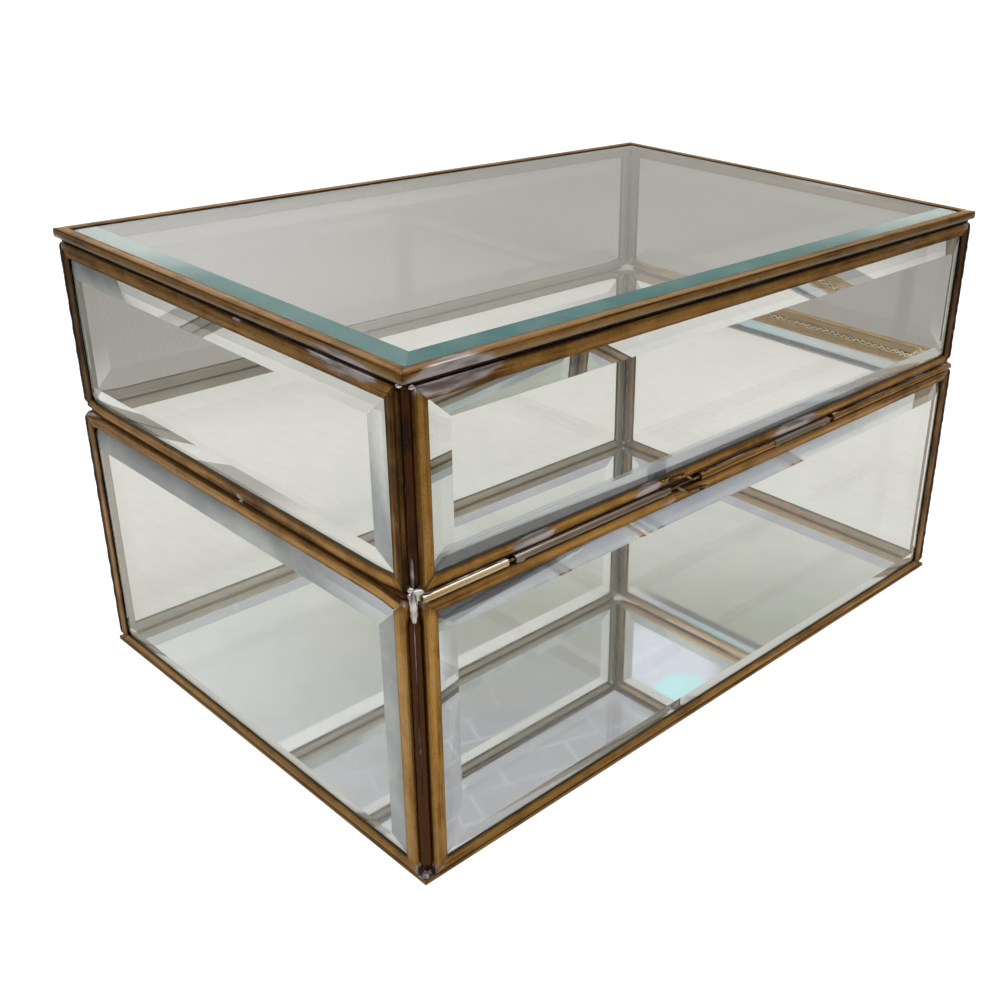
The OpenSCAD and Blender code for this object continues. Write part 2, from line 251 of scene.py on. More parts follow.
world = bpy.data.worlds.new("studio")
scene.world = world
tree = startNodes(world)
direction = put(tree, "ShaderNodeTexCoord").outputs["Generated"]
skyParts = put(tree, "ShaderNodeSeparateXYZ", {0: direction})
height = skyParts.outputs["Z"]
sky = ramp(tree, height, studio["sky"])
sideways = cosineTo(tree, direction, studio["brightSide"])
bright = calc(tree, "MULTIPLY", spread(tree, sideways, *studio["brightEnds"], 0.0, studio["brightShare"]),
              spread(tree, skyParts.outputs["X"], *studio["brightAcross"]))
sky = blendTones(tree, bright, sky, studio["brightTone"])
# pale joints of a tiled ceiling: bricks laid over the direction divided by its height
perHeight = calc(tree, "DIVIDE", 1.0, calc(tree, "MAXIMUM", height, 0.2))
overhead = put(tree, "ShaderNodeVectorMath", {0: direction, 3: perHeight}, operation="SCALE").outputs[0]
joints = put(tree, "ShaderNodeTexBrick", {
    "Vector": mapped(tree, overhead, turn=studio["tileTurn"]), "Color1": (0, 0, 0, 1),
    "Color2": (0, 0, 0, 1), "Mortar": (1, 1, 1, 1), "Scale": studio["tileScale"],
    "Mortar Size": studio["tileJoint"], "Mortar Smooth": 0.6}).outputs["Color"]
ceiling = calc(tree, "MULTIPLY", spread(tree, height, *studio["tilesFrom"]),
               spread(tree, height, *studio["tilesTo"]))
tiled = calc(tree, "MULTIPLY", joints, ceiling)
sky = blendTones(tree, calc(tree, "MULTIPLY", tiled, studio["groutShare"]), sky, studio["grout"])
for spot in ("halo", "window"):
    spotShare = spread(tree, cosineTo(tree, direction, studio[spot]), *studio[spot + "Ends"])
    sky = blendTones(tree, spotShare, sky, studio[spot + "Tone"])
onCamera = put(tree, "ShaderNodeLightPath").outputs["Is Camera Ray"]
sky = blendTones(tree, onCamera, sky, studio["background"])
backdrop = put(tree, "ShaderNodeBackground", {"Color": sky, "Strength": 1.0})
put(tree, "ShaderNodeOutputWorld", {0: backdrop.outputs[0]})

floorMaterial = bpy.data.materials.new("studioFloor")
tree = startNodes(floorMaterial)
onCamera = put(tree, "ShaderNodeLightPath").outputs["Is Camera Ray"]
place = objectPlace(tree)
parts = put(tree, "ShaderNodeSeparateXYZ", {0: place})
# distance from the box's outline, which says where the table ends
beyond = [calc(tree, "MAXIMUM", calc(tree, "SUBTRACT", calc(tree, "ABSOLUTE", parts.outputs[k]), half), 0.0)
          for k, half in enumerate(studio["tableHalf"])]
squares = [calc(tree, "POWER", one, 2.0) for one in beyond]
away = calc(tree, "POWER", calc(tree, "ADD", *squares), 0.5)
room = studio["roomFar"]
for turn in studio["clothTurns"]:
    cloth = put(tree, "ShaderNodeTexWave", {
        "Vector": mapped(tree, place, turn=turn), "Scale": studio["clothScale"], "Distortion": 0.6,
        "Detail": 1.0}).outputs["Fac"]
    room = blendTones(tree, calc(tree, "MULTIPLY", cloth, studio["clothShare"]), room, studio["clothTone"])
weave = noise(tree, mapped(tree, place, studio["weaveScale"]), 1.0)
weave = spread(tree, weave, 0.35, 0.65, 0.0, studio["weaveShare"])
table = blendTones(tree, weave, studio["tableNear"], studio["weaveTone"])
table = blendTones(tree, spread(tree, away, *studio["tableEnds"]), table, room)
matt = diffuse(tree, blendTones(tree, onCamera, table, studio["floorSeen"]))
glow = put(tree, "ShaderNodeEmission", {"Color": (1, 1, 1, 1), "Strength": studio["glowStrength"]})
floorShare = calc(tree, "MULTIPLY", onCamera, studio["glow"])
put(tree, "ShaderNodeOutputMaterial", {0: mixShaders(tree, floorShare, matt, glow.outputs[0])})
angle = np.linspace(0, 2 * np.pi, 97)[:-1]
reach = studio["floorRadius"]
rim = np.stack([reach * np.cos(angle), reach * np.sin(angle), 0 * angle - studio["floorDrop"]], axis=1)
floor = makeMesh("studio_floor", rim, [list(range(len(rim)))], floorMaterial, smoothShade=False)

# each softbox: its place, the point it faces, its size, power and tone
lamps = {
    "lamp_top": ((-0.5, 0.2, 1.7), (0, 0, 0.1), (1.3, 0.9), 16, (1.0, 1.0, 1.0)),
    "lamp_side": ((0.95, -0.7, 1.9), (0, 0, 0.08), (0.8, 0.8), 13, (1.0, 0.97, 0.93)),
    "lamp_camera": ((0.5, 1.1, 1.9), (0, 0, 0.1), (0.7, 0.6), 4.0, (1.0, 0.98, 0.95)),
}


def softbox(name, place, target, size, power, tone):
    data = bpy.data.lights.new(name, "AREA")
    data.shape, data.size, data.size_y = "RECTANGLE", size[0], size[1]
    data.energy, data.color = power, tone
    lamp = bpy.data.objects.new(name, data)
    away = np.array(place, float) - np.array(target, float)
    away /= np.linalg.norm(away)
    side = np.cross([0, 0, 1], away)
    side = side / np.linalg.norm(side)
    columns = np.array([side, np.cross(away, side), away]).T
    lamp.matrix_world = Matrix([list(row) + [p] for row, p in zip(columns, place)] + [[0, 0, 0, 1]])
    scene.collection.objects.link(lamp)


for name, settings in lamps.items():
    softbox(name, *settings)
print("casket: camera, studio and lamps set")

# the teal and wall tones are painted light caught in the panes, and the dark tone after them is a painted
# reflection in the bevels
glassFinish = {
    "tint": (0.62, 0.95, 0.92), "tintDensity": 9.0, "ior": 1.52, "shadow": (0.93, 0.95, 0.945),
    "clean": (1.0, 1.0, 1.0), "smudged": (0.975, 0.985, 0.98), "caughtFrom": 0.35,
    "teal": (0.056, 0.148, 0.142), "tealPale": (0.38, 0.43, 0.405), "tealFrom": 0.55, "tealTo": 0.86,
    "tealStreak": 0.16, "wallLight": (0.62, 0.63, 0.65), "wallPale": (0.86, 0.86, 0.85),
    "paintedReflectionDark": (0.115, 0.12, 0.135), "paintedReflectionShare": 0.62, "paintedPaleShare": 0.7,
    "mitreFrom": {"X": 0.1435, "Y": 0.0935}, "mitreWidth": 0.0005,
}
# Bevels with a painted reflection of the room, a dark band beside a pale one: the axis the bevel runs along,
# the heights in m where the dark side starts and the pale side ends, the part that is dark at the low and
# high end of the axis, where along the axis this begins and is full, and the pale tones along the axis
plainPaleReflection = [(0.0, (0.66, 0.70, 0.77)), (1.0, (0.66, 0.70, 0.77))]
paintedBevelReflections = {
    "lid_back_glass": ("X", (0.1076, 0.1155), (0.38, 0.72), (-0.13, -0.04), plainPaleReflection),
    "base_back_glass": ("X", (0.0976, 0.0905), (-0.20, 0.62), (-0.13, -0.04), plainPaleReflection),
    "base_left_glass": ("Y", (0.0885, 0.0976), (0.40, 0.30), (-0.095, -0.05),
                        [(0.25, (0.60, 0.60, 0.80)), (0.40, (0.50, 0.88, 0.96)), (0.62, (0.86, 0.93, 0.95))]),
}
brassFinish = {
    "patina": (0.020, 0.010, 0.005), "brown": (0.185, 0.088, 0.025), "gold": (0.50, 0.265, 0.062),
    "pale": (0.70, 0.48, 0.22), "stain": (0.22, 0.12, 0.07), "roughness": 0.34,
    "tinDark": (0.20, 0.17, 0.175), "tinLight": (0.58, 0.54, 0.55), "tinShare": 0.92,
    "inside": (0.39, 0.37, 0.30), "insideShare": 0.80, "blotchScale": 75.0, "grainScale": 1700.0,
    "streakScale": (14.0, 420.0, 420.0), "brushScale": (60.0, 1500.0, 1500.0),
    "cloudScale": (45.0, 330.0, 330.0), "smearScale": (55.0, 420.0, 420.0),
}
solderFinish = {
    "darkBrown": (0.085, 0.032, 0.010), "dark": (0.022, 0.016, 0.014), "grey": (0.30, 0.275, 0.30),
    "bright": (0.90, 0.87, 0.82), "cloudScale": (60.0, 380.0, 380.0),
}
mirrorFinish = {
    "clear": (0.90, 0.91, 0.91), "hazy": (0.85, 0.86, 0.87), "speck": (0.5, 0.5, 0.5), "speckShare": 0.4,
    "roughness": (0.015, 0.06),
}


def bevelBand(tree, place, bevel):
    # share and tone of the reflection painted into one bevel, a dark band beside a pale one, see the bevel
    # table above: t goes across it from its dark side, and the band keeps inside the mitres at the pane's
    # corners
    axis, (start, end), (darkLow, darkHigh), begins, tones = bevel
    parts = put(tree, "ShaderNodeSeparateXYZ", {0: place})
    run = parts.outputs[axis]
    t = calc(tree, "MULTIPLY_ADD", parts.outputs["Z"], 1 / (end - start), -start / (end - start))
    toSide = calc(tree, "SUBTRACT", glassFinish["mitreFrom"][axis], calc(tree, "ABSOLUTE", run))
    mitre = calc(tree, "MULTIPLY_ADD", t, -abs(end - start), toSide)
    mitre = spread(tree, mitre, 0.0, glassFinish["mitreWidth"])
    inBand = calc(tree, "MULTIPLY", spread(tree, t, 1.0, 0.93), spread(tree, t, 0.0, 0.1))
    dark = calc(tree, "SUBTRACT", t, spread(tree, run, 0.02, 0.13, darkLow, darkHigh))
    dark = spread(tree, dark, 0.07, -0.05)
    pale = ramp(tree, calc(tree, "MULTIPLY_ADD", run, 5.0, 0.5), tones)
    share = calc(tree, "MULTIPLY", calc(tree, "MULTIPLY", mitre, inBand), spread(tree, run, *begins))
    full, least = glassFinish["paintedReflectionShare"], glassFinish["paintedReflectionShare"] * glassFinish["paintedPaleShare"]
    share = calc(tree, "MULTIPLY", share, calc(tree, "MULTIPLY_ADD", dark, full - least, least))
    return share, blendTones(tree, dark, pale, glassFinish["paintedReflectionDark"])


def glassMaterial(name, pipesTeal, bevel=None):
    # clear float glass: refracting, lets lamps through, and tints what is seen a long way through it.
    # Light caught inside a pane by its bevels, which runs along the pane and comes out at them, is painted
    # light here: a diffuse tone where a face is met from inside at a glancing angle, teal in the top pane,
    # fading away from its near corner, and a pale grey in the walls.
    material = bpy.data.materials.new(name)
    tree = startNodes(material)
    place = objectPlace(tree)
    smudge = spread(tree, noise(tree, place, 24.0), 0.35, 0.7)
    clear = put(tree, "ShaderNodeBsdfPrincipled", {
        "Base Color": blendTones(tree, smudge, glassFinish["clean"], glassFinish["smudged"]),
        "Roughness": 0.0, "IOR": glassFinish["ior"], "Transmission Weight": 1.0})
    caught = calc(tree, "MULTIPLY", put(tree, "ShaderNodeFresnel", {"IOR": glassFinish["ior"]}).outputs[0],
                  put(tree, "ShaderNodeNewGeometry").outputs["Backfacing"])
    caught = spread(tree, caught, glassFinish["caughtFrom"], 1.0)
    if pipesTeal:
        parts = put(tree, "ShaderNodeSeparateXYZ", {0: place})
        share = calc(tree, "ADD", calc(tree, "MULTIPLY_ADD", parts.outputs["X"], -0.8 / 0.30, 0.4),
                     calc(tree, "MULTIPLY_ADD", parts.outputs["Y"], -1 / 0.20, 0.5))
        fade = spread(tree, share, glassFinish["tealFrom"], glassFinish["tealTo"])
        streak = spread(tree, noise(tree, place, 60.0), 0.3, 0.7, 0.0, glassFinish["tealStreak"])
        fade = calc(tree, "ADD", fade, streak, clamp=True)
        tone = blendTones(tree, fade, glassFinish["teal"], glassFinish["tealPale"])
    else:
        cloud = spread(tree, noise(tree, place, 30.0), 0.35, 0.65)
        tone = blendTones(tree, cloud, glassFinish["wallLight"], glassFinish["wallPale"])
    shader = mixShaders(tree, caught, clear.outputs[0], diffuse(tree, tone))
    if bevel:
        share, band = bevelBand(tree, place, bevel)
        # the painted reflection is laid over the glass as a diffuse tone
        shader = mixShaders(tree, share, shader, diffuse(tree, band))
    through = put(tree, "ShaderNodeBsdfTransparent", {"Color": (*glassFinish["shadow"], 1)}).outputs[0]
    shadow = put(tree, "ShaderNodeLightPath").outputs["Is Shadow Ray"]
    depth = put(tree, "ShaderNodeVolumeAbsorption", {
        "Color": (*glassFinish["tint"], 1), "Density": glassFinish["tintDensity"]}).outputs[0]
    surface = mixShaders(tree, shadow, shader, through)
    put(tree, "ShaderNodeOutputMaterial", {"Surface": surface, "Volume": depth})
    return material


def brassMaterial(name, onStrip):
    # drawn channel with worn brown patina: streaks run along it, and solder clouds it where its film,
    # the third part of "stripLook", is thick
    material = bpy.data.materials.new(name)
    tree = startNodes(material)
    place = objectPlace(tree)
    along = field(tree, "stripPlace", "Vector") if onStrip else place
    streak = noise(tree, mapped(tree, along, brassFinish["streakScale"]), 1.0)
    brushed = noise(tree, mapped(tree, along, brassFinish["brushScale"]), 1.0, 3.0, 0.7)
    blotch = noise(tree, place, brassFinish["blotchScale"], 5.0, 0.65)
    grain = noise(tree, place, brassFinish["grainScale"], 3.0, 0.75)
    wear = calc(tree, "ADD", calc(tree, "MULTIPLY", streak, 0.5), calc(tree, "MULTIPLY", blotch, 0.35))
    fine = calc(tree, "MULTIPLY_ADD", brushed, 0.6, calc(tree, "MULTIPLY", grain, 0.4))
    wear = calc(tree, "SUBTRACT", calc(tree, "MULTIPLY_ADD", fine, 0.35, wear), 0.10)
    if onStrip:
        look = put(tree, "ShaderNodeSeparateXYZ", {0: field(tree, "stripLook", "Vector")})
        warmthAndPaintedLight, lining, tin = look.outputs
        # for strips set by name this shift is painted light and shade
        wear = calc(tree, "ADD", wear, calc(tree, "MULTIPLY_ADD", warmthAndPaintedLight, 0.22, -0.11))
    tone = ramp(tree, wear, [
        (0.30, brassFinish["patina"]), (0.42, brassFinish["brown"]), (0.56, brassFinish["gold"]),
        (0.76, brassFinish["pale"])])
    tone = blendTones(tree, spread(tree, blotch, 0.54, 0.68, 0.0, 0.45), tone, brassFinish["stain"])
    tone = blendTones(tree, spread(tree, grain, 0.52, 0.66, 0.0, 0.55), tone, brassFinish["patina"])
    rough = spread(tree, wear, 0.3, 0.7, brassFinish["roughness"] + 0.20, brassFinish["roughness"] - 0.06)
    relief = calc(tree, "ADD", calc(tree, "MULTIPLY", grain, 0.5), streak)
    if onStrip:
        lined = calc(tree, "MULTIPLY", calc(tree, "MULTIPLY", field(tree, "rim"), lining),
                     spread(tree, streak, 0.32, 0.66, 0.25, 1.0))
        tone = blendTones(tree, lined, tone, brassFinish["patina"])
        rough = calc(tree, "ADD", rough, calc(tree, "MULTIPLY", lined, 0.25))
        dull = field(tree, "inside")
        insideHere = calc(tree, "MULTIPLY", dull, brassFinish["insideShare"])
        tone = blendTones(tree, insideHere, tone, brassFinish["inside"])
        rough = calc(tree, "ADD", rough, calc(tree, "MULTIPLY", dull, 0.15))
        cloud = noise(tree, mapped(tree, along, brassFinish["cloudScale"]), 1.0, 5.0, 0.7)
        tinned = spread(tree, calc(tree, "MULTIPLY_ADD", cloud, 0.6, tin), 0.60, 0.76)
        smear = noise(tree, mapped(tree, along, brassFinish["smearScale"]), 1.0, 3.0, 0.55)
        smear = spread(tree, smear, 0.34, 0.60)
        tinTone = blendTones(tree, smear, brassFinish["tinDark"], brassFinish["tinLight"])
        tone = blendTones(tree, calc(tree, "MULTIPLY", tinned, brassFinish["tinShare"]), tone, tinTone)
        relief = calc(tree, "ADD", relief, calc(tree, "MULTIPLY", calc(tree, "MULTIPLY", tinned, cloud), 0.8))
    bump = put(tree, "ShaderNodeBump", {"Strength": 0.35, "Distance": 0.00012, "Height": relief})
    metal = put(tree, "ShaderNodeBsdfPrincipled", {
        "Base Color": tone, "Metallic": 1.0, "Roughness": rough, "Normal": bump.outputs[0]})
    put(tree, "ShaderNodeOutputMaterial", {"Surface": metal.outputs[0]})
    return material


def solderMaterial(name):
    # tin solder: dull lilac grey, with painted light and shade set by each bead's level: a painted highlight,
    # almost white, where the level is high, and painted shade, dark, then dark brown, where it is low
    material = bpy.data.materials.new(name)
    tree = startNodes(material)
    place = objectPlace(tree)
    drawn = mapped(tree, field(tree, "beadPlace", "Vector"), solderFinish["cloudScale"])
    cloud = noise(tree, drawn, 1.0, 5.0, 0.65)
    grain = noise(tree, place, 1500.0, 2.0)
    # each bead's painted light level shifts its tone towards a painted highlight or towards painted shade
    level = calc(tree, "ADD", cloud, calc(tree, "MULTIPLY_ADD", field(tree, "paintedLightLevel"), 0.5, -0.25))
    tone = ramp(tree, level, [
        (0.08, solderFinish["darkBrown"]), (0.30, solderFinish["dark"]), (0.52, solderFinish["grey"]),
        (0.72, solderFinish["bright"])])
    relief = calc(tree, "ADD", cloud, calc(tree, "MULTIPLY", grain, 0.4))
    bump = put(tree, "ShaderNodeBump", {"Strength": 0.5, "Distance": 0.0002, "Height": relief})
    metal = put(tree, "ShaderNodeBsdfPrincipled", {
        "Base Color": tone, "Metallic": 0.9, "Roughness": spread(tree, grain, 0.35, 0.65, 0.28, 0.46),
        "Normal": bump.outputs[0]})
    put(tree, "ShaderNodeOutputMaterial", {"Surface": metal.outputs[0]})
    return material


def mirrorMaterial(name):
    material = bpy.data.materials.new(name)
    tree = startNodes(material)
    place = objectPlace(tree)
    haze = noise(tree, place, 30.0, 6.0, 0.7)
    speck = noise(tree, place, 900.0, 2.0)
    tone = blendTones(tree, spread(tree, haze, 0.4, 0.7), mirrorFinish["clear"], mirrorFinish["hazy"])
    specks = spread(tree, speck, 0.70, 0.80, 0.0, mirrorFinish["speckShare"])
    tone = blendTones(tree, specks, tone, mirrorFinish["speck"])
    rough = spread(tree, haze, 0.35, 0.75, *mirrorFinish["roughness"])
    metal = put(tree, "ShaderNodeBsdfPrincipled", {"Base Color": tone, "Metallic": 1.0, "Roughness": rough})
    put(tree, "ShaderNodeOutputMaterial", {"Surface": metal.outputs[0]})
    return material


def wireMaterial(name, light, dark, roughness, scale=(500.0, 500.0, 500.0), relief=0.3, metallic=1.0):
    material = bpy.data.materials.new(name)
    tree = startNodes(material)
    cloud = noise(tree, mapped(tree, objectPlace(tree), scale), 1.0)
    tone = blendTones(tree, spread(tree, cloud, 0.35, 0.65), dark, light)
    bump = put(tree, "ShaderNodeBump", {"Strength": relief, "Distance": 0.0001, "Height": cloud})
    metal = put(tree, "ShaderNodeBsdfPrincipled", {
        "Base Color": tone, "Metallic": metallic,
        "Roughness": spread(tree, cloud, 0.3, 0.7, roughness + 0.1, roughness), "Normal": bump.outputs[0]})
    put(tree, "ShaderNodeOutputMaterial", {"Surface": metal.outputs[0]})
    return material


paneGlass = glassMaterial("pane_glass", False)
topGlass = glassMaterial("top_pane_glass", True)
reflectionPaintedGlass = {name: glassMaterial(name + "_painted_reflection", False, bevel)
              for name, bevel in paintedBevelReflections.items()}
stripBrass = brassMaterial("antique_brass_strip", True)
tubeBrass = brassMaterial("antique_brass_tube", False)
greySolder = solderMaterial("tin_solder")
mirrorSilver = mirrorMaterial("mirror_silver")
brownWire = wireMaterial("hinge_wire_metal", (0.40, 0.26, 0.11), (0.12, 0.07, 0.025), 0.24)
tinnedTube = wireMaterial("hinge_tube_tinned", (0.40, 0.34, 0.29), (0.20, 0.15, 0.11), 0.30,
                          (14.0, 160.0, 160.0), 0.05)
paleTube = wireMaterial("hinge_tube_pale", (0.86, 0.75, 0.52), (0.52, 0.38, 0.20), 0.26,
                        (10.0, 130.0, 130.0), 0.04)
# the chain is pale gold and only partly metallic so that it stays bright in the shaded seam: partly painted
# light
chainGold = wireMaterial("chain_gold", (1.0, 0.90, 0.62), (0.70, 0.55, 0.28), 0.22,
                         (450.0, 450.0, 450.0), 0.2, 0.3)
print("casket: materials made")

# the first of each pair makes a strip more golden, the second darkens its edges; each pair is for one kind of
# strip, or for one strip by its name. The pairs by name set single strips darker or lighter than their kind:
# painted shade on the posts seen in outline, and painted light on the two strips round the chain's seam.
# Lengths are in mm
channel = {
    "cornerRound": 0.55, "crown": 0.10, "lipRound": 0.2, "mirrorLipRound": 0.12, "lipWidth": 1.2,
    "ringEvery": 3.0, "dent": 0.045, "lipWave": 0.09, "bow": 1.25, "bowFade": 14.0,
    "filmHeight": 0.62, "filmEdge": 1.25, "endFilm": 0.34, "endFilmReach": 11.0, "leftInside": 0.45,
    "basePost": (0.66, 0.5), "baseRail": (0.58, 0.95), "lidPost": (0.52, 0.9), "lidRail": (0.50, 1.0),
    "topRail": (0.53, 1.0), "mirrorRail": (0.46, 1.0),
    "lid_right_channel_back": (0.16, 1.0), "lid_back_channel_left": (0.08, 1.0),
    "lid_left_channel_back": (0.05, 1.0), "base_back_channel_left": (0.28, 1.0),
    "lid_right_channel_front": (0.16, 1.0), "lid_front_channel_right": (0.10, 1.0),
    "base_right_channel_front": (0.30, 1.0), "base_right_channel_back": (0.88, 0.5),
    "lid_back_channel_right": (0.62, 0.8), "base_left_channel_top": (0.85, 0.1),
    "lid_left_channel_bottom": (0.85, 0.15),
}

# patches clouded with solder: middle and half sizes in mm, and strength
tinPatches = [
    ((103, 99, 106), (14, 3, 4), 0.9), ((52, 99, 106), (12, 3, 4), 0.8), ((-31, 99, 106), (22, 3, 4), 0.9),
    ((132, 98, 166), (26, 5, 7), 1.0), ((-101, 99, 166), (14, 4, 3), 0.6), ((148, 72, 166), (4, 26, 6), 0.9),
    ((148, 20, 166), (3, 6, 3), 0.7), ((148, 10, 103), (4, 5, 4), 0.7), ((-120, 99, 104), (6, 3, 3), 0.8),
    ((40, 100, 98), (8, 3, 4), 0.6), ((110, 100, 100), (8, 3, 3), 0.6), ((147, 97, 102), (7, 7, 5), 0.7),
    ((147, 97, 4), (8, 8, 5), 0.8), ((146, -97, 102), (9, 9, 6), 0.7), ((-146, 97, 102), (9, 9, 6), 0.7),
    ((146, -97, 166), (10, 10, 6), 0.8), ((-146, 97, 166), (10, 10, 6), 0.7),
    ((-146, -97, 102), (9, 9, 6), 0.6), ((-146, -97, 166), (9, 9, 6), 0.7),
    ((148, -60, 103), (3, 5, 3), 0.5), ((-148, 92, 110), (5, 6, 6), 0.8),
]


def tinOf(points):
    # strength of the solder film at each point: highest of the patches, each falling off to its edge
    film = np.zeros(points.shape[:-1])
    for middle, sizes, strength in tinPatches:
        far = np.linalg.norm((points - np.array(middle, float)) / np.array(sizes, float), axis=-1)
        film = np.maximum(film, channel["filmHeight"] * strength * smooth(channel["filmEdge"] - far))
    return film


def channelOutline(leg, depth, sheet, lip):
    # closed U of the channel: u runs inwards from the frame's outer edge, w across the channel.
    # leg faces are crowned, w = depth - crown (2s - 1)^2, and join the web in quarter rounds
    r, crown = channel["cornerRound"] * min(depth / box["channelDepth"], 1.0), channel["crown"]
    s = np.linspace(0, 1, 7)
    faceU, faceW = (leg - lip) + (r - leg + lip) * s, depth - crown * (2 * s - 1) ** 2
    a = np.linspace(0, np.pi / 2, 6)[1:-1]
    cornerU, cornerW = r - r * np.sin(a), depth - crown - r + r * np.cos(a)
    webW = np.linspace(depth - crown - r, crown + r, 5)
    webU = crown * 0.6 * (2 * np.linspace(0, 1, 5) - 1) ** 2
    t = np.linspace(0, np.pi, 5)[1:-1]
    lipU, lipW = leg - lip + lip * np.sin(t), depth - crown - lip + lip * np.cos(t)
    outerU = np.concatenate([faceU, cornerU, webU, cornerU[::-1], faceU[::-1]])
    outerW = np.concatenate([faceW, cornerW, webW, depth - cornerW[::-1], depth - faceW[::-1]])
    innerU = np.array([leg - lip, (leg + sheet) / 2, sheet, sheet, (leg + sheet) / 2, leg - lip])
    low = crown + 2 * lip
    innerW = np.array([low, sheet, sheet, depth - sheet, depth - sheet, depth - low])
    u = np.concatenate([outerU, lipU[::-1], innerU, lipU])
    w = np.concatenate([outerW, depth - lipW[::-1], innerW, lipW[::-1]])
    # how dark the lining of the edges is at each point: full round the corners and all over the inside
    within = len(u) - len(outerU)
    edge = np.concatenate([
        [0.75, 0.25, 0, 0, 0, 0.1, 0.55], [0.9, 1, 1, 0.9], [0.5, 0.05, 0, 0.05, 0.5], [0.9, 1, 1, 0.9],
        [0.55, 0.1, 0, 0, 0, 0.25, 0.75], np.ones(within)])
    outer = np.concatenate([np.ones(len(outerU)), np.zeros(within)])
    return u, w, edge, outer


def channelStrip(name, node, body, length, legs, section, corner, along, inwards, outwards, seed, look, bow):
    # the outline carried along the strip; both ends are mitred, x = cut u + s (length - (cut + cut') u).
    # A bowed strip leans out of its frame between its ends, by bow times a smooth step of the distance
    leg, startLeg, endLeg = legs
    depth, sheet, lip = section
    u, w, edge, outer = channelOutline(leg, depth, sheet, lip)
    s = np.linspace(0, 1, max(int(length / channel["ringEvery"]), 8))[:, None]
    x = startLeg / leg * u + s * (length - (startLeg + endLeg) / leg * u)
    wave = 1 + ripple(seed, x + 0 * u, 9.0 * w + 0 * x, longest=90, shortest=9)
    dent = channel["dent"] * outer * wave / 2
    upAndDown = np.where(w > depth / 2, 1.0, -1.0) * ((u > 0.5) & (outer > 0))
    onLip = np.clip((u - leg + channel["lipWidth"]) / channel["lipWidth"], 0, 1)
    fromEnd = np.minimum(x, length - x)
    lean = bow * smooth(fromEnd / channel["bowFade"])
    lipWave = 1 + ripple(seed + 7, x + 0 * u, longest=45, shortest=7)
    shiftedU = u - channel["lipWave"] * onLip * lipWave / 2 - lean
    shiftedW = w - dent * upAndDown
    points = (np.array(corner) + x[..., None] * np.array(along, float)
              + shiftedU[..., None] * np.array(inwards, float)
              + shiftedW[..., None] * np.array(outwards, float))
    rows, columns = x.shape
    faces = gridFaces(rows, columns, closeColumns=True).tolist()
    faces.append(list(range(columns)))
    faces.append(list(range((rows - 1) * columns, rows * columns))[::-1])
    if np.dot(np.cross(along, inwards), outwards) > 0:
        faces = [face[::-1] for face in faces]
    around = np.cumsum(np.hypot(np.diff(u, prepend=u[0]), np.diff(w, prepend=w[0])))
    place = np.stack([x + 37.0 * seed, around + 0 * x, 11.0 * seed + 0 * x], axis=-1) * mm
    endFilm = channel["endFilm"] * np.random.default_rng(seed).uniform(0.4, 1.1)
    film = np.maximum(tinOf(points), endFilm * smooth(1 - fromEnd / channel["endFilmReach"]))
    insideHere = channel["leftInside"] if "left" in name.split("_")[1] else 1.0
    inside = insideHere * smooth((depth * 0.45 - w) / (depth * 0.25)) + 0 * x
    lookAt = np.stack([look[0] + 0 * film, look[1] + 0 * film, film], axis=-1)
    piece = makeMesh(name, points.reshape(-1, 3) * mm, faces, stripBrass, {
        "rim": np.tile(edge, rows), "inside": inside.ravel(), "stripPlace": place.reshape(-1, 3),
        "stripLook": lookAt.reshape(-1, 3)})
    carry(piece, body, "antique_brass", node)


wallSection = (box["channelDepth"], box["channelSheet"], channel["lipRound"])
mirrorSection = (box["mirrorDepth"], box["mirrorSheet"], channel["mirrorLipRound"])
legBase = {"top": box["leg"], "bottom": box["leg"], "start": box["postLeg"], "end": box["postLeg"]}
legLid = {"top": box["lidTopLeg"], "bottom": box["leg"], "start": box["leg"], "end": box["leg"]}
legFlat = {"top": box["leg"], "bottom": box["leg"], "start": box["leg"], "end": box["leg"]}
facing = {"front": (axisX, -axisY), "back": (-axisX, axisY), "right": (axisY, axisX),
          "left": (-axisY, -axisX)}
edgeNames = {
    "front": ("top", "bottom", "right", "left"), "back": ("top", "bottom", "left", "right"),
    "right": ("top", "bottom", "back", "front"), "left": ("top", "bottom", "front", "back"),
}


def framePanel(pieceName, nodeName, body, size, legs, section, middle, sideways, upwards, outwards, edges,
               seed, looks, bows=(0, 0)):
    # four strips: upper, lower, the one at the far end of sideways, and the one at its start
    upper, lower, far, near = edges
    middle = np.array(middle, float)
    width, height = size
    halfW, halfH = width / 2 * sideways, height / 2 * upwards
    top, bottom, first, last = legs["top"], legs["bottom"], legs["start"], legs["end"]
    shapes = (
        (upper, width, (top, first, last), middle - halfW + halfH, sideways, -upwards),
        (lower, width, (bottom, first, last), middle - halfW - halfH, sideways, upwards),
        (far, height, (last, bottom, top), middle + halfW - halfH, upwards, -sideways),
        (near, height, (first, bottom, top), middle - halfW - halfH, upwards, sideways),
    )
    for k, (edge, length, threeLegs, corner, along, inwards) in enumerate(shapes):
        stripName = f"{pieceName}_{edge}"
        look = channel.get(stripName, looks[0 if k < 2 else 1])
        channelStrip(stripName, nodeName.format(edge), body, length, threeLegs, section, corner, along,
                     inwards, outwards, seed + k, look, bows[k] if k < 2 else 0)


